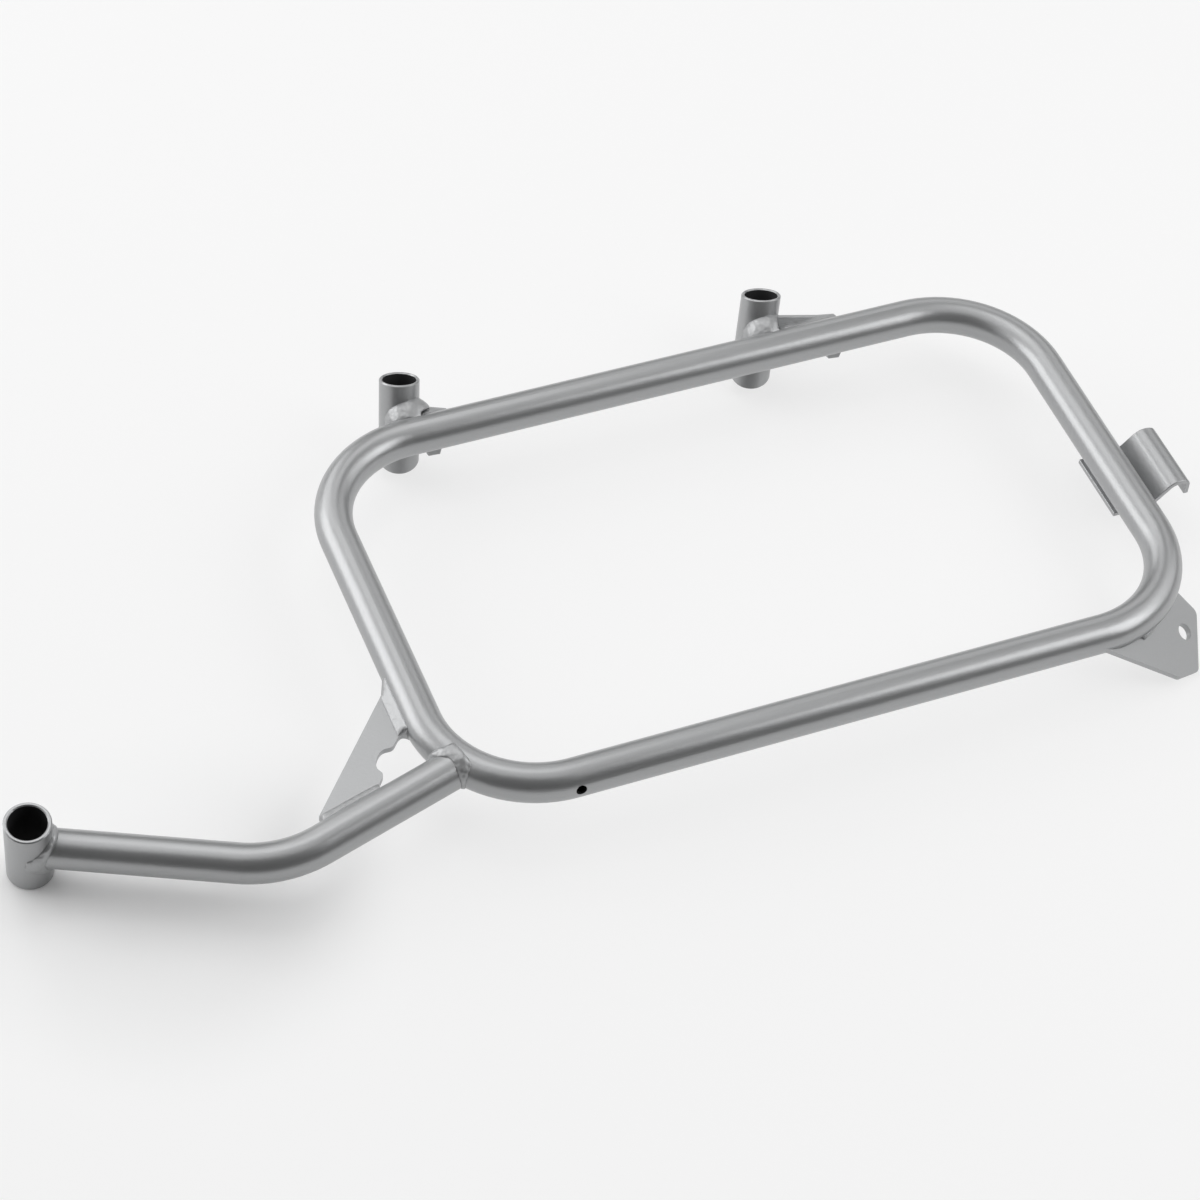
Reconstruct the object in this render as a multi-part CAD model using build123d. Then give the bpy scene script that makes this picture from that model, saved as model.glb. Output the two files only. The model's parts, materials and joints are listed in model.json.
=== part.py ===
"""Pannier frame of a motorbike: welded round tube loop with mounting sleeves, arm, clip and lug.

Lengths in mm, angles in degrees, +Z up. The frame lies on its bike side, as in the photograph: the loop is
level, its front side runs along X, and the sleeves, the arm and the lug reach down to the floor.
"""

import os
from math import atan, cos, radians, sin, sqrt, tan

from build123d import *

# Tube and loop
tube_od = 18.0
tube_wall = 2.0
loop_length = 366.0          # centreline, along X
loop_width = 218.0           # centreline, along Y
bend_radius = 52.0           # centreline, the same for every bend
loop_height = 31.5           # centreline above the floor
drain_d = 5.0
drain_offset = 0.5           # past the end of the front-left bend
drain_rise = 10.0            # above the level, on the outer front

# Arm from the front-left bend, as places of its knee and tip from the left side's centreline
arm_root_angle = 33.8        # around the bend, from the left side
arm_knee_x = -82.0
arm_knee_y = -1.2
arm_knee_drop = 5.4
arm_tip_x = -180.6
arm_tip_y = 48.8
arm_tip_drop = 11.0
arm_sleeve_od = 21.0
arm_sleeve_id = 17.3
arm_sleeve_length = 38.5
arm_sleeve_tilt = 6.0        # the top leans to the front

# Upper sleeves behind the back side
sleeve_od = 19.5
sleeve_id = 16.3
sleeve_rise = 22.5           # upper rim above the contact with the tube, along the sleeve
sleeve_foot = 24.3           # level lower end below the loop's centreline
sleeve_tilt = 23.0           # the tops lean to the back
left_sleeve_inset = 53.7     # from the left side's centreline
left_sleeve_lean = 8.0       # the top leans to the right
right_sleeve_inset = 125.2   # from the right side's centreline
right_sleeve_lean = 14.0
rim_lean = 8.0               # of both upper rims
rim_break = 0.5              # chamfer on the rims of all sleeves

# Sheet parts
plate_t = 3.0
gusset_drop = 2.0            # middle of the gusset below the loop's centreline
clip_t = 2.5
clip_y = 73.0                # near end of the clip
clip_length = 37.5
clip_reach = 7.1             # under the tube, inwards
lug_slope = 36.0             # below the level, outwards
lug_inset = 18.0             # lug's origin from the centrelines of the front and right sides
lug_drop = 4.75
lug_hole_d = 8.0
lug_corner_r = 4.0

# Weld beads
bead = 2.5                   # leg of a weld between the arm and what it meets
plate_bead = 2.8             # leg of a weld on the gusset's arm side and on the lug
gusset_bead = 4.5            # leg of the weld between gusset and loop
sleeve_weld = 12.0           # reach of the weld between an upper sleeve and the tube
sleeve_weld_shift = 3.2      # its middle to the right of the contact, and as much above and behind it
sleeve_weld_depth = 6.0      # its back behind the contact
strap_weld = 8.0             # reach of the weld between strap and tube, up the strap
clip_weld = 5.0              # reach of the weld between clip and tube, along the clip
lug_weld_x = -17.8           # middle of the stitch on the lug
lug_weld_length = 12.0
root = 3.2                   # a weld between bodies that touch starts this far from the contact
weld_inset = 1.0             # a weld stops this far from the end of its part

tube_r = tube_od / 2
left, right = -loop_length / 2, loop_length / 2
bend_centre = Vector(left + bend_radius, bend_radius, loop_height)
to_root = Vector(cos(radians(arm_root_angle)), sin(radians(arm_root_angle)), 0)
arm_start = bend_centre - to_root * bend_radius
arm_knee = Vector(left + arm_knee_x, arm_knee_y, loop_height - arm_knee_drop)
arm_end = Vector(left + arm_tip_x, arm_tip_y, loop_height - arm_tip_drop)
left_sleeve_x = left + left_sleeve_inset
right_sleeve_x = right - right_sleeve_inset


def bar(start, end, radius):
    """Straight round bar between two points."""
    start, end = Vector(start), Vector(end)
    return Plane((start + end) / 2, z_dir=end - start) * Cylinder(radius, (end - start).length)


def loop_solid(radius):
    """Round bar along the closed loop: four quarter bends and the straights between them."""
    x, near, far, z = right - bend_radius, bend_radius, loop_width - bend_radius, loop_height
    body = bar((-x, 0, z), (x, 0, z), radius) + bar((-x, loop_width, z), (x, loop_width, z), radius)
    for side in (left, right):
        body += bar((side, near, z), (side, far, z), radius)
    for corner, turn in (((x, near), -90), ((x, far), 0), ((-x, far), 90), ((-x, near), 180)):
        body += Pos(*corner, z) * Rot(0, 0, turn) * Torus(bend_radius, radius, major_angle=90, align=None)
    return body


def arm_solid(radius):
    """Round bar along the bent arm, running into the loop and the arm sleeve."""
    first, second = (arm_start - arm_knee).normalized(), (arm_end - arm_knee).normalized()
    bend = 180 - first.get_angle(second)
    tangent = bend_radius * tan(radians(bend / 2))
    centre = arm_knee + (first + second).normalized() * (bend_radius / cos(radians(bend / 2)))
    bend_start, bend_end = arm_knee + first * tangent, arm_knee + second * tangent
    across = (bend_start - centre).cross(bend_end - centre)
    knee_plane = Plane(centre, x_dir=bend_start - centre, z_dir=across)
    knee = knee_plane * Torus(bend_radius, radius, major_angle=bend, align=None)
    return bar(arm_start, bend_start, radius) + knee + bar(bend_end, arm_end, radius)


def sleeve_plane(centre, lean, tilt):
    """Plane across a sleeve: lean tips its top to the right, tilt to the back."""
    level = cos(radians(tilt))
    axis = Vector(level * sin(radians(lean)), sin(radians(tilt)), level * cos(radians(lean)))
    return Plane(centre, x_dir=axis.cross(Vector(1, 0, 0)), z_dir=axis)


def sleeve(outer, inner):
    """Open sleeve with broken rims from its solid bar and that of its bore."""
    body = outer - inner
    rims = body.edges().filter_by(GeomType.LINE, reverse=True)
    return chamfer(rims, rim_break)


def outline_face(points):
    """Flat face inside a closed outline of straight lines."""
    return make_face(Polyline(*points, close=True).edges())


def biggest(shape):
    """Largest solid of a shape that may have come out in several."""
    return max(shape.solids(), key=lambda piece: piece.volume)


def seams(first, second, *solids):
    """Weld beads: what two grown bodies share, less the solids given, the highest bead first."""
    shared = first & second
    for solid in solids:
        shared = shared - solid
    beads = sorted(shared.solids(), key=lambda piece: -piece.volume)[:2]
    return sorted(beads, key=lambda piece: -piece.center().Z)


# Loop and arm
loop_full = loop_solid(tube_r)
drain_out = (0, -cos(radians(drain_rise)), sin(radians(drain_rise)))
drain_plane = Plane((bend_centre.X + drain_offset, 0, loop_height), z_dir=drain_out)
drain = drain_plane * Pos(0, 0, tube_r) * Cylinder(drain_d / 2, tube_od)
loop_tube = loop_full - loop_solid(tube_r - tube_wall) - drain

arm_sleeve_plane = sleeve_plane(arm_end, 0, -arm_sleeve_tilt)
arm_sleeve_full = arm_sleeve_plane * Cylinder(arm_sleeve_od / 2, arm_sleeve_length)
arm_sleeve_bore = arm_sleeve_plane * Cylinder(arm_sleeve_id / 2, arm_sleeve_length)
arm_bar = arm_solid(tube_r)
arm_full = biggest(arm_bar - loop_full - arm_sleeve_full)
arm_tube = biggest(arm_full - arm_solid(tube_r - tube_wall))
arm_sleeve = sleeve(arm_sleeve_full, arm_sleeve_bore)

# Gusset in the corner of loop and arm, with its wavy inner edge; outline from the left side's centreline
wave = [(-30.1, 22.4), (-28.1, 26.3), (-26.2, 29.8), (-27.4, 32.8), (-27.1, 35.9), (-25.0, 39.6),
        (-21.4, 42.2), (-17.5, 42.4), (-14.7, 44.8), (-12.3, 47.1), (-8.0, 46.6)]
gusset_rest = [(0, 46.0), (0, 81.5), (-8.4, 81.5), (-12.3, 71.8), (-60.0, 16.2), (-59.0, 6.0), (-31.5, 13.0)]
gusset_line = Curve() + [Spline(*wave), Polyline(wave[-1], *gusset_rest, wave[0])]
gusset_face = make_face(gusset_line.edges())
gusset_z = loop_height - gusset_drop


def gusset_block(growth):
    """Gusset's outline as a block, grown on both faces."""
    thickness = plate_t + 2 * growth
    return Pos(left, 0, gusset_z - thickness / 2) * extrude(gusset_face, thickness)


gusset_plate = biggest(gusset_block(0) - loop_full - arm_full)

# Upper sleeves against the back side, each with a strap tangent to the tube
back = Vector(0, cos(radians(sleeve_tilt)), -sin(radians(sleeve_tilt)))
up = Vector(0, sin(radians(sleeve_tilt)), cos(radians(sleeve_tilt)))


def back_axis(x):
    """Point at x on the centreline of the back side."""
    return Vector(x, loop_width, loop_height)


def upper_bar(x, lean, diameter):
    """Bar along an upper sleeve that touches the back of the tube at x, between its rim and its foot."""
    middle = back_axis(x) + back * (tube_r + sleeve_od / 2)
    rim = sleeve_plane(middle, rim_lean, sleeve_tilt).offset(sleeve_rise)
    foot = Plane((x, loop_width, loop_height - sleeve_foot))
    body = sleeve_plane(middle, lean, sleeve_tilt) * Cylinder(diameter / 2, loop_width)
    return split(split(body, rim, Keep.BOTTOM), foot, Keep.TOP)


def strap_block(x, outline, inner, outer):
    """Block over the outline of the strap at x, between two distances from the tube's axis."""
    plane = Plane(back_axis(x) + back * inner, x_dir=(1, 0, 0), z_dir=-back)
    return extrude(plane * outline_face(outline), inner - outer)


left_full = upper_bar(left_sleeve_x, left_sleeve_lean, sleeve_od)
right_full = upper_bar(right_sleeve_x, right_sleeve_lean, sleeve_od)
left_sleeve = sleeve(left_full, upper_bar(left_sleeve_x, left_sleeve_lean, sleeve_id))
right_sleeve = sleeve(right_full, upper_bar(right_sleeve_x, right_sleeve_lean, sleeve_id))

# Outlines of the straps, along X from the sleeve and up the sleeve from the contact
left_outline = [(7.1, 9.4), (9.8, 9.2), (22.3, 5.0), (23.5, 3.0), (23.5, -8.0), (16.9, -14.5),
                (15.9, -16.9), (9.9, -16.5), (9.1, -12.0), (3.8, -12.0)]
right_outline = [(8.2, 12.8), (10.2, 12.4), (31.2, 7.6), (40.0, 6.2), (41.5, 3.0), (41.5, -14.5),
                 (40.2, -16.6), (34.6, -16.0), (33.4, -12.0), (2.9, -12.0)]
left_strap = biggest(strap_block(left_sleeve_x, left_outline, tube_r, tube_r + plate_t) - left_full)
right_strap = biggest(strap_block(right_sleeve_x, right_outline, tube_r, tube_r + plate_t) - right_full)

# Hook clip: strip under the right side that rises outside the tube and arches over into a lip
clip_plane = Plane((right, clip_y, loop_height), x_dir=(1, 0, 0), z_dir=(0, -1, 0))
clip_low = -tube_r - clip_t / 2
clip_points = [(-clip_reach, clip_low), (13.2, clip_low), (25.2, 2.3), (31.6, -0.8), (31.6, -8.0)]
clip_radii = (4.0, 7.2, 2.6)
clip_line = FilletPolyline(*clip_points, radius=clip_radii)
hook_clip = extrude(clip_plane * trace(clip_line, clip_t), -clip_length)

# Corner lug: flat plate sloping out and down from the front-right bend to the floor
lug_out = Vector(1, -1, 0).normalized()
lug_normal = lug_out * sin(radians(lug_slope)) + Vector(0, 0, cos(radians(lug_slope)))
lug_plane = Plane((right - lug_inset, lug_inset, loop_height - lug_drop), x_dir=(1, 1, 0), z_dir=lug_normal)
lug_outline = [(-47.0, 12.0), (-24.0, -34.3), (-12.8, -41.4), (15.2, -27.6), (15.6, 2.0), (0, 3.0),
               (-35.0, 7.0)]
lug_hole_at = (-0.3, -26.0)
lug_face = outline_face(lug_outline)
lug_face = fillet(lug_face.vertices().sort_by(Axis.Y)[:3], lug_corner_r)
lug_blank = extrude(lug_plane * lug_face, -plate_t)
lug_hole = lug_plane * Pos(*lug_hole_at) * Cylinder(lug_hole_d / 2, tube_od)
corner_lug = biggest(lug_blank - loop_full - lug_hole)

# Weld beads of the arm
arm_grown = arm_solid(tube_r + bead)
arm_sleeve_grown = arm_sleeve_plane * Cylinder(arm_sleeve_od / 2 + bead, arm_sleeve_length - weld_inset)
weld_arm_loop = biggest((arm_grown & loop_solid(tube_r + bead)) - loop_full - arm_bar - gusset_plate)
weld_arm_sleeve = biggest((arm_grown & arm_sleeve_grown) - arm_sleeve_full - arm_bar)


def corner_bead(side):
    """Fillet weld along the loop's left side, on the gusset's upper (1) or lower (-1) face."""
    low = side * plate_t / 2 - gusset_drop
    high = low + side * gusset_bead
    sheet_toe = (-sqrt(tube_r**2 - low**2) - gusset_bead, low)
    tube_toe = (-sqrt(tube_r**2 - high**2), high)
    plane = Plane((left, 0, loop_height), x_dir=(1, 0, 0), z_dir=(0, -1, 0))
    section = plane * outline_face([sheet_toe, tube_toe, (0, high), (0, low)])
    prism = extrude(section, loop_width / 2, dir=(0, 1, 0))
    return biggest((prism & gusset_block(tube_od)) - loop_full)


weld_gusset_loop_top = corner_bead(1)
weld_gusset_loop_low = corner_bead(-1)
weld_gusset_arm_top, weld_gusset_arm_low = seams(
    gusset_block(plate_bead), arm_solid(tube_r + plate_bead), arm_bar, gusset_plate, loop_full, weld_arm_loop)

# Stitch welds of the lug, one on each face
lug_grown = extrude(lug_plane * Pos(0, 0, plate_bead) * lug_face, -(plate_t + 2 * plate_bead))
stitch = lug_plane * Pos(lug_weld_x, 0, 0) * Box(lug_weld_length, loop_width, loop_height)
weld_lug_top, weld_lug_low = seams(lug_grown & stitch, loop_solid(tube_r + plate_bead), loop_full, corner_lug)


def sleeve_bead(x, full, outline):
    """Weld bead around the spot where an upper sleeve touches the tube, as far as the strap."""
    contact = back_axis(x) + back * tube_r
    spot = Plane(contact, z_dir=back) * Cylinder(root, tube_od)
    middle = contact + (Vector(1, 0, 0) + up + back) * sleeve_weld_shift
    ball = Pos(middle) * Sphere(sleeve_weld) - loop_full - full - spot
    front = split(ball, Plane(contact + back * sleeve_weld_depth, z_dir=back), Keep.BOTTOM)
    return biggest(front - strap_block(x, outline, 0, tube_od))


def flare_bead(contact, out, along, reach, length):
    """Weld bead in the groove between the tube and a sheet that touches it, flush with the tube."""
    lean = 2 * atan(tube_r / reach)
    crown = (reach - reach * cos(lean), reach * sin(lean))
    section = outline_face([(root, 0), (reach, 0), crown, (0, tube_r)])
    plane = Plane(contact, x_dir=out, z_dir=along)
    return extrude(plane * section, length, dir=along) - loop_full


def strap_bead(x, full, outline):
    """Weld bead between the tube and the upper part of a strap, within the strap's outline."""
    contact = back_axis(x) + back * tube_r
    groove = flare_bead(contact, up, Vector(1, 0, 0), strap_weld, max(outline)[0] - weld_inset)
    return biggest((groove & strap_block(x, outline, 0, tube_r)) - full)


weld_left_sleeve = sleeve_bead(left_sleeve_x, left_full, left_outline)
weld_right_sleeve = sleeve_bead(right_sleeve_x, right_full, right_outline)
weld_left_strap = strap_bead(left_sleeve_x, left_full, left_outline)
weld_right_strap = strap_bead(right_sleeve_x, right_full, right_outline)


def clip_bead(y, side):
    """Weld bead between tube and clip, from one end at y, on the inner (-1) or outer (1) side."""
    contact = Vector(right, y, loop_height - tube_r)
    length = clip_length - 2 * weld_inset
    return biggest(flare_bead(contact, Vector(side, 0, 0), Vector(0, -side, 0), clip_weld, length))


weld_clip_inner = clip_bead(clip_y + weld_inset, -1)
weld_clip_outer = clip_bead(clip_y + clip_length - weld_inset, 1)

nodes = {
    "loop_tube": loop_tube,
    "arm_tube": arm_tube,
    "arm_sleeve": arm_sleeve,
    "gusset_plate": gusset_plate,
    "left_sleeve": left_sleeve,
    "right_sleeve": right_sleeve,
    "left_strap": left_strap,
    "right_strap": right_strap,
    "hook_clip": hook_clip,
    "corner_lug": corner_lug,
    "weld_arm_loop": weld_arm_loop,
    "weld_arm_sleeve": weld_arm_sleeve,
    "weld_left_sleeve": weld_left_sleeve,
    "weld_right_sleeve": weld_right_sleeve,
    "weld_gusset_loop_top": weld_gusset_loop_top,
    "weld_gusset_loop_low": weld_gusset_loop_low,
    "weld_gusset_arm_top": weld_gusset_arm_top,
    "weld_gusset_arm_low": weld_gusset_arm_low,
    "weld_left_strap": weld_left_strap,
    "weld_right_strap": weld_right_strap,
    "weld_clip_inner": weld_clip_inner,
    "weld_clip_outer": weld_clip_outer,
    "weld_lug_top": weld_lug_top,
    "weld_lug_low": weld_lug_low,
}

# Origin at the bottom centre of the whole
boxes = [shape.bounding_box() for shape in nodes.values()]
x_mid = (min(box.min.X for box in boxes) + max(box.max.X for box in boxes)) / 2
y_mid = (min(box.min.Y for box in boxes) + max(box.max.Y for box in boxes)) / 2
z_low = min(box.min.Z for box in boxes)
to_floor = Pos(-x_mid, -y_mid, -z_low)

os.makedirs("parts", exist_ok=True)
for name, shape in nodes.items():
    export_step(to_floor * shape, f"parts/{name}.step")
    print(name, len(shape.solids()), round(shape.volume, 1), round(shape.bounding_box().min.Z, 2))
print("moved by", -x_mid, -y_mid, -z_low)
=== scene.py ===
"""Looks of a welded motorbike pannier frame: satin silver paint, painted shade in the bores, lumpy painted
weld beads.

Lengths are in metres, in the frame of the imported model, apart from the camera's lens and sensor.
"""

import json
import logging
from dataclasses import dataclass
from enum import Enum
from math import hypot, radians
from typing import Any

import bmesh
import bpy
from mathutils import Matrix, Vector
from mathutils.bvhtree import BVHTree


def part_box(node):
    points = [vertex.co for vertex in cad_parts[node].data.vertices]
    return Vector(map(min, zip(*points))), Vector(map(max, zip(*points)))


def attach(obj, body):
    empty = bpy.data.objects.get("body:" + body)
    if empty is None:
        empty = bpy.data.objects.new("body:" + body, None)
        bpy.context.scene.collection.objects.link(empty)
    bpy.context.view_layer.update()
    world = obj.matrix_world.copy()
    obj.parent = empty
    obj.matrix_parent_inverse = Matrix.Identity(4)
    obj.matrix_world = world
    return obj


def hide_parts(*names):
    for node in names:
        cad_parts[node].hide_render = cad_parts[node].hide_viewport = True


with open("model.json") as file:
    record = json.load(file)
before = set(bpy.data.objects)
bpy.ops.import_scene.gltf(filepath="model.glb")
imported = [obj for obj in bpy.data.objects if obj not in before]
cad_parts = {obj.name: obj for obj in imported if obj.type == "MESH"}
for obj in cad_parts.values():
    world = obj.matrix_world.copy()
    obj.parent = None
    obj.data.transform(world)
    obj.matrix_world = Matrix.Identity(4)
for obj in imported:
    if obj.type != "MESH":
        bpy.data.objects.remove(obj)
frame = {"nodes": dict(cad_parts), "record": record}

MM = 0.001
MERGE = 0.002 * MM
FULL = 1.0
NOISE_MIDDLE = 0.5
BODY = "root"
Point = tuple[float, float, float]
Colour = tuple[float, float, float, float]
log = logging.getLogger("pannier_frame")


class Side(Enum):
    """Place of a face's finish in the material list of its piece."""

    PAINTED = 0
    # slot of the near-black painted shade inside bores and tubes
    DARK = 1


class Wire:
    """Output socket of a shader node; arithmetic on it adds Math nodes."""

    def __init__(self, graph: "Graph", socket: bpy.types.NodeSocket) -> None:
        """Keeps the socket and the graph that new nodes go into."""
        self.graph = graph
        self.socket = socket

    def _math(self, operation: str, left: Any, right: Any) -> "Wire":
        """Adds one Math node.

        Args:
            operation: Name of the node's operation.
            left: First value or wire.
            right: Second value or wire.

        Returns:
            The node's result.
        """
        return self.graph.node("ShaderNodeMath", {"operation": operation}, {0: left, 1: right})["Value"]

    def __add__(self, other: Any) -> "Wire":
        """Sum of this wire and a value or wire."""
        return self._math("ADD", self, other)

    def __sub__(self, other: Any) -> "Wire":
        """Difference of this wire and a value or wire."""
        return self._math("SUBTRACT", self, other)

    def __rsub__(self, other: Any) -> "Wire":
        """Difference of a value and this wire."""
        return self._math("SUBTRACT", other, self)

    def __mul__(self, other: Any) -> "Wire":
        """Product of this wire and a value or wire."""
        return self._math("MULTIPLY", self, other)

    __radd__ = __add__
    __rmul__ = __mul__


class Graph:
    """Node tree of a material or world, emptied and ready to be filled."""

    def __init__(self, tree: bpy.types.NodeTree) -> None:
        """Empties the tree."""
        self.tree = tree
        tree.nodes.clear()

    def node(self, kind: str, settings: dict[str, Any], inputs: dict[Any, Any]) -> dict[str, Wire]:
        """Adds one node.

        Args:
            kind: Node type.
            settings: Attributes of the node, set first.
            inputs: Values or wires by socket name or number.

        Returns:
            The node's outputs by name.
        """
        made = self.tree.nodes.new(kind)
        for name, value in settings.items():
            setattr(made, name, value)
        for key, value in inputs.items():
            if isinstance(value, Wire):
                self.tree.links.new(value.socket, made.inputs[key])
            else:
                made.inputs[key].default_value = value
        return {socket.name: Wire(self, socket) for socket in made.outputs}

    def noise(self, place: Wire, size: float, detail: float) -> Wire:
        """Adds a noise.

        Args:
            place: Coordinates that the noise is fixed to.
            size: Size of its grains.
            detail: Number of finer layers in it.

        Returns:
            The noise, with values around NOISE_MIDDLE.
        """
        inputs = {"Vector": place, "Scale": 1 / size, "Detail": detail}
        return self.node("ShaderNodeTexNoise", {}, inputs)["Fac"]


def new_material(name: str) -> tuple[bpy.types.Material, Graph]:
    """Makes an empty node material.

    Args:
        name: Name of the material.

    Returns:
        The material and its graph.
    """
    material = bpy.data.materials.new(name)
    material.use_nodes = True
    return material, Graph(material.node_tree)


def grey(level: float) -> Colour:
    """Opaque grey of a level from 0, black, to 1, white."""
    return (level, level, level, FULL)


@dataclass(frozen=True)
class SilverPaint:
    """Satin silver paint with a fine metal flake and a faint orange peel.

    Attributes:
        flake_depth: Spread of the brightness over the flake.
        roughness_play: Spread of the roughness over the peel.
    """

    name: str
    colour: tuple[float, float, float] = (0.40, 0.405, 0.41)
    flake_depth: float = 0.10
    flake_size: float = 0.45 * MM
    flake_detail: float = 2.0
    metallic: float = 0.7
    roughness: float = 0.34
    roughness_play: float = 0.08
    peel_size: float = 1.6 * MM
    peel_height: float = 0.05 * MM
    peel_detail: float = 3.0

    def material(self) -> bpy.types.Material:
        """Builds the paint.

        Returns:
            The finished material.
        """
        material, graph = new_material(self.name)
        place = graph.node("ShaderNodeTexCoord", {}, {})["Object"]
        flake = graph.noise(place, self.flake_size, self.flake_detail)
        peel = graph.noise(place, self.peel_size, self.peel_detail)
        colour = graph.node("ShaderNodeVectorMath", {"operation": "SCALE"}, {
            0: self.colour,
            "Scale": 1 - self.flake_depth * (flake - NOISE_MIDDLE),
        })["Vector"]
        bump = graph.node("ShaderNodeBump", {}, {
            "Strength": FULL,
            "Distance": self.peel_height,
            "Height": peel,
        })["Normal"]
        surface = graph.node("ShaderNodeBsdfPrincipled", {}, {
            "Base Color": colour,
            "Metallic": self.metallic,
            "Roughness": self.roughness + self.roughness_play * (peel - NOISE_MIDDLE),
            "Normal": bump,
        })["BSDF"]
        graph.node("ShaderNodeOutputMaterial", {}, {"Surface": surface})
        return material


@dataclass(frozen=True)
class InnerShadeFinish:
    """Near-black painted shade inside the bores and inside the loop tube, where little light reaches."""

    name: str = "painted_inner_shade"
    # near-black colour of the painted shade
    colour: Colour = (0.012, 0.012, 0.013, FULL)
    roughness: float = 0.75

    def material(self) -> bpy.types.Material:
        """Builds the painted shade.

        Returns:
            The finished material.
        """
        material, graph = new_material(self.name)
        surface = graph.node("ShaderNodeBsdfPrincipled", {}, {
            "Base Color": self.colour,
            "Roughness": self.roughness,
        })["BSDF"]
        graph.node("ShaderNodeOutputMaterial", {}, {"Surface": surface})
        return material


@dataclass(frozen=True)
class PaleFloor:
    """Matt pale floor; a glow over it, seen by the camera and in reflections, keeps shadows faint.

    Attributes:
        glow_share: Share of the glow in the arm's shadow, and away from it.
        shadow_place: Middle of the arm's shadow, where the glow is weak and the shadow shows.
        shadow_edge: Distances from that middle between which the glow grows.
    """

    name: str = "pale_floor"
    matt_grey: float = 0.97
    glow_grey: float = 0.92
    glow_share: tuple[float, float] = (0.05, 0.75)
    shadow_place: Point = (-0.235, -0.10, 0.0)
    shadow_edge: tuple[float, float] = (0.05, 0.11)

    def material(self) -> bpy.types.Material:
        """Builds the floor's finish.

        Returns:
            The finished material.
        """
        material, graph = new_material(self.name)
        glow = {"Color": grey(self.glow_grey), "Strength": FULL}
        bright = graph.node("ShaderNodeEmission", {}, glow)["Emission"]
        matt = graph.node("ShaderNodeBsdfDiffuse", {}, {"Color": grey(self.matt_grey)})["BSDF"]
        place = graph.node("ShaderNodeTexCoord", {}, {})["Object"]
        away = graph.node("ShaderNodeVectorMath", {"operation": "DISTANCE"}, {
            0: place,
            1: self.shadow_place,
        })["Value"]
        share = graph.node("ShaderNodeMapRange", {"interpolation_type": "SMOOTHSTEP"}, {
            "Value": away,
            "From Min": self.shadow_edge[0],
            "From Max": self.shadow_edge[1],
            "To Min": self.glow_share[0],
            "To Max": self.glow_share[1],
        })["Result"]
        rays = graph.node("ShaderNodeLightPath", {}, {})
        seen = rays["Is Camera Ray"] + rays["Is Glossy Ray"] + rays["Is Transmission Ray"]
        surface = graph.node("ShaderNodeMixShader", {}, {0: share * seen, 1: matt, 2: bright})["Shader"]
        graph.node("ShaderNodeOutputMaterial", {}, {"Surface": surface})
        return material


@dataclass(frozen=True)
class Finishes:
    """The materials that the pieces are dressed in."""

    paint: bpy.types.Material
    weld_paint: bpy.types.Material
    # near-black painted shade for the bores and the inside of the loop
    inner_shade: bpy.types.Material


def select_only(piece: bpy.types.Object) -> None:
    """Selects one object and makes it active.

    Args:
        piece: The object.
    """
    bpy.ops.object.select_all(action="DESELECT")
    piece.select_set(True)
    bpy.context.view_layer.objects.active = piece


def dress(piece: bpy.types.Object, *materials: bpy.types.Material) -> None:
    """Gives a piece its materials.

    Args:
        piece: The piece.
        materials: Its materials, in the order of Side.
    """
    piece.data.materials.clear()
    for material in materials:
        piece.data.materials.append(material)


def closed_copy(node: str, name: str) -> bpy.types.Object:
    """Copies a CAD node and closes the copy's loose triangles into one shell.

    Args:
        node: Name of the CAD node.
        name: Name of the copy.

    Returns:
        The copy, selected and active.
    """
    copy = bpy.data.objects.new(name, frame["nodes"][node].data.copy())
    bpy.context.scene.collection.objects.link(copy)
    select_only(copy)
    bpy.ops.object.mode_set(mode="EDIT")
    bpy.ops.mesh.select_all(action="SELECT")
    bpy.ops.mesh.remove_doubles(threshold=MERGE)
    bpy.ops.mesh.normals_make_consistent(inside=False)
    bpy.ops.object.mode_set(mode="OBJECT")
    return copy


def shape(piece: bpy.types.Object, kind: str, **settings: Any) -> None:
    """Applies one modifier to the active piece.

    Args:
        piece: The piece.
        kind: Type of the modifier.
        settings: Its settings.
    """
    modifier = piece.modifiers.new(kind.lower(), kind)
    for name, value in settings.items():
        setattr(modifier, name, value)
    bpy.ops.object.modifier_apply(modifier=modifier.name)


def keep_largest_shell(piece: bpy.types.Object) -> None:
    """Deletes every connected shell of a piece except the largest.

    Args:
        piece: The piece.
    """
    mesh = bmesh.new()
    mesh.from_mesh(piece.data)
    left = set(mesh.verts)
    largest: set[bmesh.types.BMVert] = set()
    while left:
        front = [left.pop()]
        shell = set(front)
        while front:
            point = front.pop()
            near = {edge.other_vert(point) for edge in point.link_edges} & left
            left -= near
            shell |= near
            front.extend(near)
        largest = max(largest, shell, key=len)
    specks = [point for point in mesh.verts if point not in largest]
    bmesh.ops.delete(mesh, geom=specks, context="VERTS")
    mesh.to_mesh(piece.data)
    mesh.free()


def stand_in(piece: bpy.types.Object, node: str) -> None:
    """Attaches a finished piece to the body and hides the CAD node that it stands for.

    Args:
        piece: The piece.
        node: Name of the CAD node that it stands for.
    """
    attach(piece, BODY)
    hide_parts(node)
    log.info("%s built in place of %s", piece.name, node)


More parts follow.
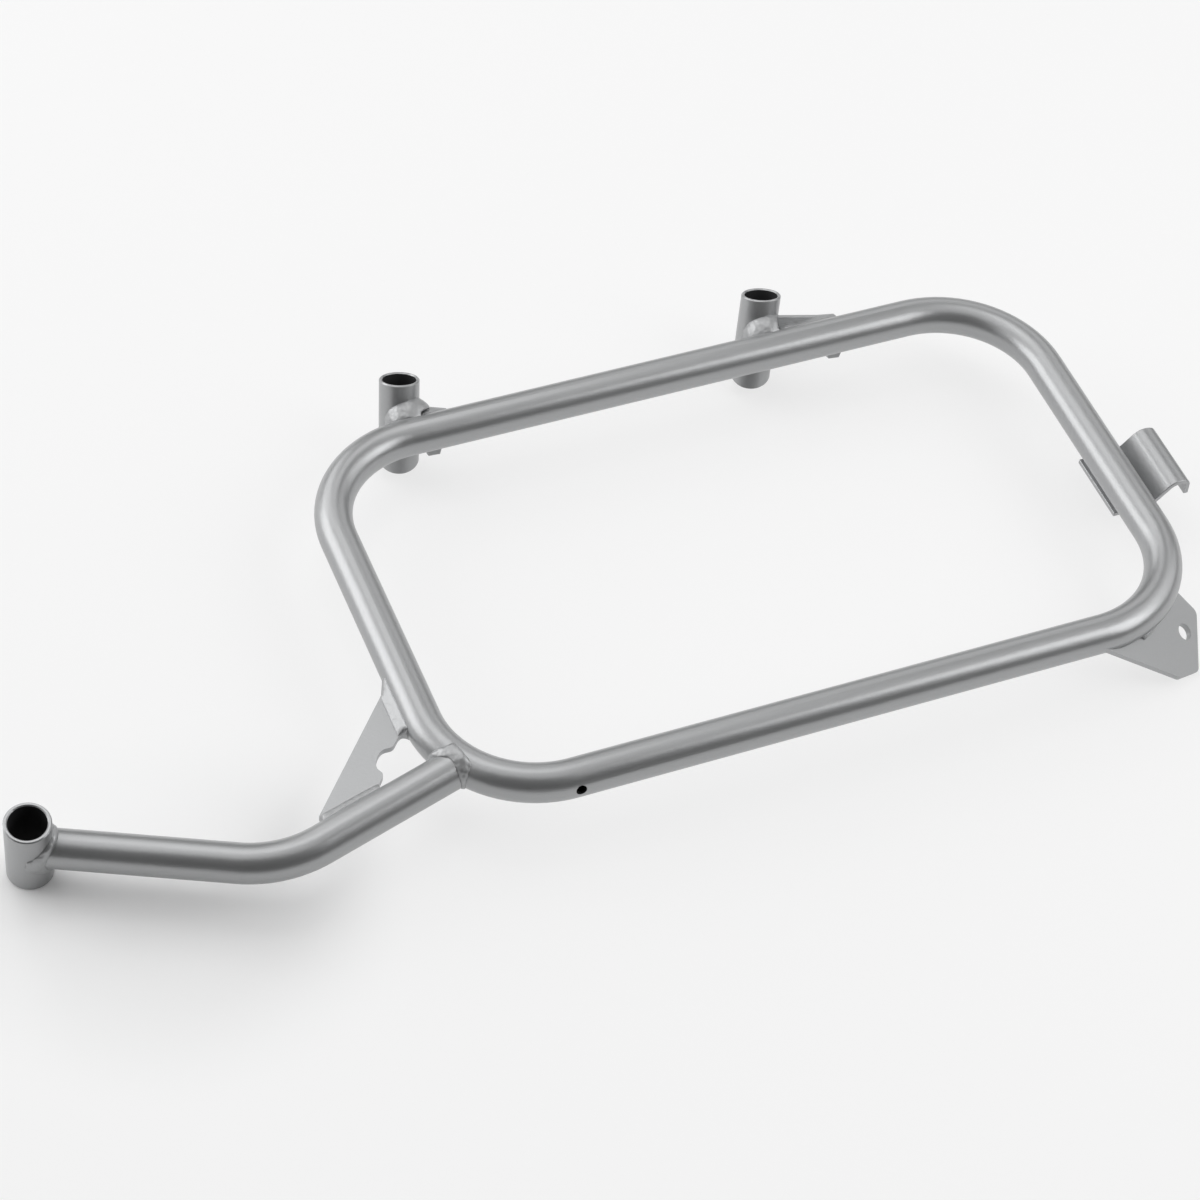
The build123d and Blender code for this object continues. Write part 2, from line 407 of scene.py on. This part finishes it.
@dataclass
class TubeFrame:
    """The closed loop and the bent arm.

    Attributes:
        skin: Depth under the loop's outer face at which its inside begins.
    """

    loop: str = "loop_tube"
    arm: str = "arm_tube"
    tube_radius: float = 9.0 * MM
    bend_radius: float = 52.0 * MM
    skin: float = 0.4 * MM

    def depth(self, point: Vector, low: Vector, high: Vector) -> float:
        """Distance of a point from the centreline of the loop.

        Args:
            point: The point.
            low: Lowest corner of the loop's box.
            high: Highest corner of the loop's box.

        Returns:
            The distance.
        """
        middle, half = (low + high) / 2, (high - low) / 2
        across = abs(point.x - middle.x) - half.x + self.tube_radius + self.bend_radius
        along = abs(point.y - middle.y) - half.y + self.tube_radius + self.bend_radius
        level = hypot(max(across, 0), max(along, 0)) + min(max(across, along), 0) - self.bend_radius
        return hypot(level, point.z - middle.z)

    def dress(self, finishes: Finishes) -> None:
        """Paints both tubes; the inside of the loop and the wall of its drain hole get a near-black painted
        shade.

        Args:
            finishes: The materials.
        """
        loop, arm = frame["nodes"][self.loop], frame["nodes"][self.arm]
        low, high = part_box(self.loop)
        dress(loop, finishes.paint, finishes.inner_shade)
        for face in loop.data.polygons:
            # faces inside the loop tube and in its drain hole get the near-black painted shade
            inside = self.depth(face.center, low, high) < self.tube_radius - self.skin
            face.material_index = (Side.DARK if inside else Side.PAINTED).value
        dress(arm, finishes.paint)
        log.info("tubes dressed: %s, %s", self.loop, self.arm)


@dataclass
class Sleeves:
    """The open mounting sleeves, each with its bore as the record states it.

    Attributes:
        skin: Distance from the bore's wall up to which a face counts as inside.
    """

    places: tuple[str, ...] = ("arm", "left", "right")
    skin: float = 0.05 * MM

    def bores(self) -> dict[str, dict[str, Any]]:
        """The sleeve nodes and their stated bores.

        Returns:
            Mount of the record by node name.
        """
        stated = {mount["name"]: mount for mount in frame["record"]["mounts"]}
        return {f"{place}_sleeve": stated[f"{place}_bore"] for place in self.places}

    def dress(self, finishes: Finishes) -> None:
        """Paints the sleeves and gives their bores a near-black painted shade.

        Args:
            finishes: The materials.
        """
        for name, bore in self.bores().items():
            sleeve = frame["nodes"][name]
            centre, axis = Vector(bore["pos_m"]), Vector(bore["axis"])
            dress(sleeve, finishes.paint, finishes.inner_shade)
            for face in sleeve.data.polygons:
                # faces on the bore's wall get the near-black painted shade
                out = face.center - centre
                reach = (out - axis * out.dot(axis)).length
                inside = reach < bore["dims"]["r_mm"] * MM + self.skin
                face.material_index = (Side.DARK if inside else Side.PAINTED).value
            log.info("sleeve dressed: %s", name)


@dataclass
class SheetParts:
    """Gusset, straps, hook clip and corner lug, with paint drawn round over their cut edges.

    Attributes:
        edge: Width of the rounding.
        flat: Angle up to which neighbouring faces are one flat face.
        crease: Angle from which an edge counts as sharp.
    """

    names: tuple[str, ...] = ("gusset_plate", "left_strap", "right_strap", "hook_clip", "corner_lug")
    edge: float = 0.5 * MM
    edge_steps: int = 3
    flat: float = radians(1)
    crease: float = radians(30)

    def build(self, finishes: Finishes) -> None:
        """Models each sheet part with softened edges.

        Args:
            finishes: The materials.
        """
        for name in self.names:
            part = closed_copy(name, f"painted_{name}")
            bpy.ops.object.mode_set(mode="EDIT")
            bpy.ops.mesh.dissolve_limited(angle_limit=self.flat)
            bpy.ops.object.mode_set(mode="OBJECT")
            shape(part, "BEVEL", width=self.edge, segments=self.edge_steps,
                  limit_method="ANGLE", angle_limit=self.crease)
            bpy.ops.object.shade_smooth_by_angle(angle=self.crease)
            shape(part, "WEIGHTED_NORMAL", keep_sharp=True)
            dress(part, finishes.paint)
            stand_in(part, name)


@dataclass(frozen=True)
class Wall:
    """Piece that weld beads lie on, with a search tree over its faces."""

    piece: bpy.types.Object
    tree: BVHTree

    @classmethod
    def of(cls, node: str) -> "Wall":
        """Makes the wall of a CAD node.

        Args:
            node: Name of the node.

        Returns:
            The wall.
        """
        piece = frame["nodes"][node]
        points = [vertex.co for vertex in piece.data.vertices]
        faces = [tuple(face.vertices) for face in piece.data.polygons]
        return cls(piece, BVHTree.FromPolygons(points, faces))

    def touched_by(self, bead: bpy.types.Object, contact: float) -> list[int]:
        """Lists the points of a bead that lie on this wall.

        Args:
            bead: The bead.
            contact: Distance that still counts as lying on the wall.

        Returns:
            The points' numbers.
        """
        nearest = self.tree.find_nearest
        return [point.index for point in bead.data.vertices if nearest(point.co, contact)[0] is not None]


@dataclass
class WeldBeads:
    """Painted weld beads, drawn tight between their toes and slightly lumpy.

    Attributes:
        solid_prefix: Start of the names of the weld solids.
        bead_prefix: Start of the names of the beads that stand for them.
        group: Name of the group of points that a modifier works on.
        grain: Size of the mesh that a bead is made of.
        contact: Distance from a wall that still counts as lying on it.
        sink: Depth of a bead's toes in its walls.
        lump_middle: Value of the lump texture that leaves a point where it is.
        rough_beads: Solids whose beads have higher lumps.
        slim_bead: Solid whose bead is thinned.
        slim_span: Heights between which the thinning goes from full to none.
        plain_middle: Middle value at which a displacement without a texture has its full strength.
        draw_steps: Smoothing steps that draw the open face tight.
        soften_steps: Smoothing steps that round the lumps.
        smoothing: Strength of one such step.
        loosening: Strength of the last smoothing, which parts points that the seating laid together.
        crease: Angle from which an edge is shaded sharp.
    """

    solid_prefix: str = "weld_"
    bead_prefix: str = "bead_"
    group: str = "region"
    grain: float = 0.4 * MM
    contact: float = 0.3 * MM
    sink: float = 0.25 * MM
    lump_size: float = 3.0 * MM
    lump_layers: int = 1
    lump_height: float = 0.35 * MM
    lump_middle: float = 0.5
    rough_beads: tuple[str, ...] = (
        "weld_arm_loop",
        "weld_arm_sleeve",
        "weld_left_sleeve",
        "weld_right_sleeve",
        "weld_lug_top",
        "weld_lug_low",
    )
    rough_height: float = 0.6 * MM
    slim_bead: str = "weld_arm_loop"
    slimming: float = 1.2 * MM
    slim_span: tuple[float, float] = (31.0 * MM, 38.0 * MM)
    plain_middle: float = 0.0
    draw_steps: int = 200
    soften_steps: int = 3
    smoothing: float = 0.5
    loosen_steps: int = 1
    loosening: float = 0.2
    crease: float = radians(50)

    def build(self, finishes: Finishes) -> None:
        """Models one bead for every weld solid.

        Args:
            finishes: The materials.
        """
        lumps = bpy.data.textures.new("bead_lumps", "CLOUDS")
        lumps.noise_scale = self.lump_size
        lumps.noise_depth = self.lump_layers
        walls = [Wall.of(name) for name in frame["nodes"] if not name.startswith(self.solid_prefix)]
        for name in sorted(frame["nodes"]):
            if name.startswith(self.solid_prefix):
                bead = self.bead(name, lumps, walls)
                dress(bead, finishes.weld_paint)
                stand_in(bead, name)

    def bead(self, node: str, lumps: bpy.types.Texture, walls: list[Wall]) -> bpy.types.Object:
        """Draws the open face of a weld solid tight, raises lumps on it and seats it in its walls.

        Args:
            node: Name of the weld solid.
            lumps: Texture that the lumps follow.
            walls: The pieces that the bead may lie on.

        Returns:
            The bead.
        """
        bead = closed_copy(node, node.replace(self.solid_prefix, self.bead_prefix))
        height = self.rough_height if node in self.rough_beads else self.lump_height
        shape(bead, "REMESH", mode="VOXEL", voxel_size=self.grain)
        keep_largest_shell(bead)
        self.mark_open(bead, walls)
        shape(bead, "SMOOTH", factor=self.smoothing, iterations=self.draw_steps, vertex_group=self.group)
        if node == self.slim_bead:
            self.slim(bead)
            self.mark_open(bead, walls)
        shape(bead, "DISPLACE", strength=height, mid_level=self.lump_middle, texture=lumps,
              texture_coords="LOCAL", vertex_group=self.group)
        shape(bead, "SMOOTH", factor=self.smoothing, iterations=self.soften_steps, vertex_group=self.group)
        self.seat(bead, walls)
        bead.vertex_groups.clear()
        shape(bead, "SMOOTH", factor=self.loosening, iterations=self.loosen_steps)
        bpy.ops.object.shade_smooth_by_angle(angle=self.crease)
        return bead

    def mark(self, bead: bpy.types.Object, points: list[int]) -> None:
        """Puts points into the group that the next modifier works on.

        Args:
            bead: The bead.
            points: Numbers of the points.
        """
        bead.vertex_groups.clear()
        bead.vertex_groups.new(name=self.group).add(points, FULL, "REPLACE")

    def mark_open(self, bead: bpy.types.Object, walls: list[Wall]) -> None:
        """Marks the points that lie on no wall.

        Args:
            bead: The bead.
            walls: The walls.
        """
        held = {point for wall in walls for point in wall.touched_by(bead, self.contact)}
        self.mark(bead, [point.index for point in bead.data.vertices if point.index not in held])

    def slim(self, bead: bpy.types.Object) -> None:
        """Thins the marked points of a bead, the lower the more.

        Args:
            bead: The bead.
        """
        low, high = self.slim_span
        group = bead.vertex_groups[self.group]
        for point in bead.data.vertices:
            if point.groups:
                share = min(max((high - point.co.z) / (high - low), 0.0), FULL)
                group.add([point.index], share, "REPLACE")
        shape(bead, "DISPLACE", strength=-self.slimming, mid_level=self.plain_middle, vertex_group=self.group)

    def seat(self, bead: bpy.types.Object, walls: list[Wall]) -> None:
        """Sinks the points that lie on a wall a little into it, so that no step shows at the toes.

        Args:
            bead: The bead.
            walls: The walls.
        """
        for wall in walls:
            points = wall.touched_by(bead, self.contact)
            if points:
                self.mark(bead, points)
                shape(bead, "SHRINKWRAP", target=wall.piece, wrap_method="NEAREST_SURFACEPOINT",
                      wrap_mode="ABOVE_SURFACE", offset=-self.sink, vertex_group=self.group)


@dataclass(frozen=True)
class SoftBox:
    """Evenly lit panel, aimed at the origin."""

    name: str
    place: Point
    width: float
    height: float
    watts: float

    def build(self) -> None:
        """Adds the panel."""
        bpy.ops.object.light_add(type="AREA", location=self.place)
        lamp = bpy.context.object
        lamp.name = self.name
        lamp.data.shape = "RECTANGLE"
        lamp.data.size = self.width
        lamp.data.size_y = self.height
        lamp.data.energy = self.watts
        lamp.rotation_euler = Vector(self.place).to_track_quat("Z", "Y").to_euler()
        log.info("lamp added: %s", self.name)


@dataclass
class Studio:
    """Pale floor, soft panels overhead and at the sides, a dim room and the camera of the photograph.

    Attributes:
        lens: Focal length of the camera in millimetres.
        sensor: Width of its sensor in millimetres.
        camera_pitch: Turn of the camera about X in degrees, from looking straight down.
        camera_roll: Its turn about Y in degrees.
        camera_heading: Its turn about Z in degrees.
    """

    floor_size: float = 40.0
    floor_finish: PaleFloor = PaleFloor()
    room_grey: float = 0.05
    boxes: tuple[SoftBox, ...] = (
        SoftBox("overhead", place=(0.1, 0.1, 2.0), width=1.5, height=1.5, watts=6.0),
        SoftBox("high_back", place=(0.08, 0.95, 1.60), width=1.2, height=1.0, watts=5.6),
        SoftBox("high_left", place=(-0.95, 0.35, 1.70), width=1.5, height=1.15, watts=4.6),
        SoftBox("left", place=(-1.50, 1.10, 0.74), width=1.4, height=1.3, watts=15.5),
        SoftBox("front_left", place=(-1.77, 0.0, 0.94), width=1.15, height=1.15, watts=2.8),
        SoftBox("back_left", place=(-0.55, 1.68, 0.94), width=1.15, height=1.15, watts=7.4),
        SoftBox("back_right", place=(1.10, 1.35, 0.85), width=1.5, height=1.0, watts=4.4),
        SoftBox("right", place=(1.77, 0.0, 0.94), width=1.15, height=1.15, watts=5.0),
        SoftBox("near_right", place=(1.05, 0.15, 1.1), width=0.8, height=0.4, watts=1.2),
        SoftBox("near_front", place=(0.95, -0.66, 0.95), width=0.75, height=1.05, watts=7.2),
    )
    lens: float = 105.0
    sensor: float = 36.0
    camera_place: Point = (-0.45827, -0.98410, 1.23717)
    camera_pitch: float = 41.266
    camera_roll: float = -3.407
    camera_heading: float = -21.522

    def build(self) -> None:
        """Sets up floor, lamps, room and camera."""
        self.floor()
        for box in self.boxes:
            box.build()
        self.room()
        self.camera()
        bpy.context.scene.view_settings.view_transform = "Standard"

    def floor(self) -> None:
        """Adds the floor."""
        bpy.ops.object.select_all(action="DESELECT")
        bpy.ops.mesh.primitive_plane_add(size=self.floor_size)
        floor = bpy.context.object
        floor.name = "floor"
        dress(floor, self.floor_finish.material())

    def room(self) -> None:
        """Fills the room with dim, even light."""
        world = bpy.data.worlds.new("room")
        world.use_nodes = True
        graph = Graph(world.node_tree)
        light = {"Color": grey(self.room_grey), "Strength": FULL}
        surface = graph.node("ShaderNodeBackground", {}, light)["Background"]
        graph.node("ShaderNodeOutputWorld", {}, {"Surface": surface})
        bpy.context.scene.world = world

    def camera(self) -> None:
        """Adds the camera at the viewing angle of the photograph."""
        turn = [radians(angle) for angle in (self.camera_pitch, self.camera_roll, self.camera_heading)]
        bpy.ops.object.camera_add(location=self.camera_place, rotation=turn)
        camera = bpy.context.object
        camera.data.lens = self.lens
        camera.data.sensor_width = self.sensor
        bpy.context.scene.camera = camera


def main() -> None:
    """Builds and dresses the pieces in order, then sets up the studio."""
    logging.basicConfig(level=logging.INFO, format="%(name)s: %(message)s")
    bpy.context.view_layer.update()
    tube_paint = SilverPaint("silver_paint")
    bead_paint = SilverPaint("silver_weld_paint", roughness=0.42, peel_size=1.1 * MM, peel_height=0.12 * MM)
    finishes = Finishes(
        paint=tube_paint.material(),
        weld_paint=bead_paint.material(),
        inner_shade=InnerShadeFinish().material(),
    )
    TubeFrame().dress(finishes)
    Sleeves().dress(finishes)
    SheetParts().build(finishes)
    WeldBeads().build(finishes)
    Studio().build()


if __name__ == "__main__":
    main()
